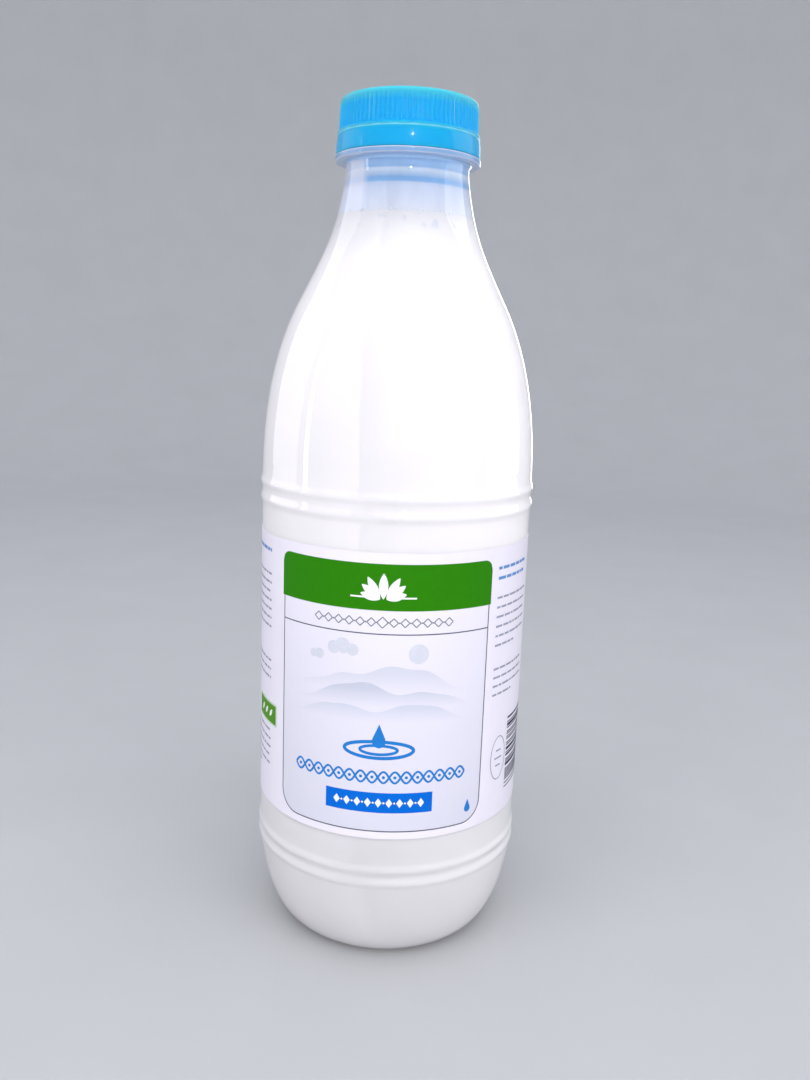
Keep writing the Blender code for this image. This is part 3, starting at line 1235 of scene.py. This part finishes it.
def make_stage():
    """A pale floor that curves up into a round backdrop, open above."""
    flat, bend, height = 0.9, 0.7, 1.7
    outline = [(0.0, 0.0)] + [(flat * share / 8, 0.0) for share in range(1, 9)]
    outline += [(flat + r, bend + z) for r, z in arc((0.0, 0.0), bend, -90, 0, 24)[1:]]
    outline.append((flat + bend, height))
    look = grained("paper_backdrop", (0.56, 0.56, 0.57, 1.0), 0.015, 18.0, 0.75, Specular_IOR_Level=0.0)
    sides = 96
    points = []
    for radius, z in outline:
        for side in range(sides):
            angle = math.tau * side / sides
            points.append((radius * math.cos(angle), radius * math.sin(angle), z))
    faces = []
    for row in range(len(outline) - 1):
        for side in range(sides):
            after = (side + 1) % sides
            a, b = row * sides, (row + 1) * sides
            faces.append((a + side, b + side, b + after, a + after))
    mesh_piece("backdrop", points, faces, look.material)


def aim(thing, spot):
    """Turns a light or camera to face a point."""
    thing.rotation_euler = (Vector(spot) - thing.location).to_track_quat("-Z", "Y").to_euler()


def polar(degrees, distance, height):
    """A place round the bottle, degrees to the right of the camera's direction."""
    angle = math.radians(CAMERA_AZIMUTH + degrees)
    return Vector((distance * math.sin(angle), -distance * math.cos(angle), height))


def area_light(name, spot, size, power, colour=(1.0, 1.0, 1.0), target=(0.0, 0.0, 0.13)):
    """A rectangular lamp that the camera doesn't see."""
    lamp = bpy.data.lights.new(name, "AREA")
    lamp.shape = "RECTANGLE"
    lamp.size = size[0]
    lamp.size_y = size[1]
    lamp.energy = power
    lamp.color = colour
    light = bpy.data.objects.new(name, lamp)
    light.location = spot
    light.visible_camera = False
    bpy.context.scene.collection.objects.link(light)
    aim(light, target)
    return light


def make_lights():
    """Soft lamps light the bottle without a glint, and the others show only as glints in its gloss."""
    soft = [area_light("overhead", polar(0, 0.35, 1.5), (1.6, 1.6), 9.5, (0.97, 0.98, 1.0))]
    for name, side, power in (("left_key", -48, 2.15), ("front", 0, 1.95), ("right_key", 48, 2.55)):
        soft.append(area_light(name, polar(side, 0.92, 0.38), (0.7, 0.5), power))
    for light in soft:
        light.visible_glossy = False
    shoulder_height = (0.0, 0.0, 0.22)
    glints = (
        area_light("left_strip", polar(-79, 0.75, 0.27), (0.06, 0.44), 0.32, target=shoulder_height),
        area_light("left_sheet", polar(-108, 0.95, 0.40), (0.7, 0.8), 1.7),
        area_light("right_sheet", polar(98, 0.95, 0.40), (0.82, 0.8), 3.0),
        area_light("right_rim", polar(162, 0.9, 0.30), (0.16, 0.9), 1.2),
        area_light("spark", polar(6, 1.0, 0.58), (0.035, 0.035), 1.2, target=shoulder_height),
    )
    for light in glints:
        light.visible_diffuse = False
    world = bpy.data.worlds.new("sky")
    world.use_nodes = True
    backing = world.node_tree.nodes["Background"]
    backing.inputs["Color"].default_value = (0.84, 0.89, 1.0, 1.0)
    backing.inputs["Strength"].default_value = 0.85
    bpy.context.scene.world = world


def make_camera():
    """The camera, with the view, lean and focal length of the photograph."""
    lens = bpy.data.cameras.new("camera")
    lens.sensor_fit = "AUTO"
    lens.sensor_width = SENSOR
    lens.lens = FOCAL_PIXELS / IMAGE_HEIGHT * SENSOR
    lens.clip_start = 0.01
    camera = bpy.data.objects.new("camera", lens)
    bpy.context.scene.collection.objects.link(camera)
    turn = math.radians(YAW - CAMERA_AZIMUTH)
    pitch = math.radians(PITCH)
    roll = math.radians(ROLL)
    forward = Vector((math.sin(turn) * math.cos(pitch), math.cos(turn) * math.cos(pitch), math.sin(pitch)))
    level = Vector((math.cos(turn), -math.sin(turn), 0.0))
    upright = level.cross(forward)
    right = math.cos(roll) * level + math.sin(roll) * upright
    up = -math.sin(roll) * level + math.cos(roll) * upright
    facing = Matrix((right, up, -forward)).transposed().to_4x4()
    camera.matrix_world = Matrix.Translation(polar(0, CAMERA_DISTANCE, CAMERA_HEIGHT)) @ facing
    bpy.context.scene.camera = camera


outline, inner = make_bottle()
make_milk(outline)
make_haze(inner)
make_bubbles(inner)
make_cap()
make_band()
make_score()
make_label()
make_panel()
make_header()
make_divider()
make_picture()
make_strokes()
make_small_print()
make_titles()
make_bars()
make_mark()
make_stage()
make_lights()
make_camera()
bpy.context.scene.view_settings.view_transform = "Standard"
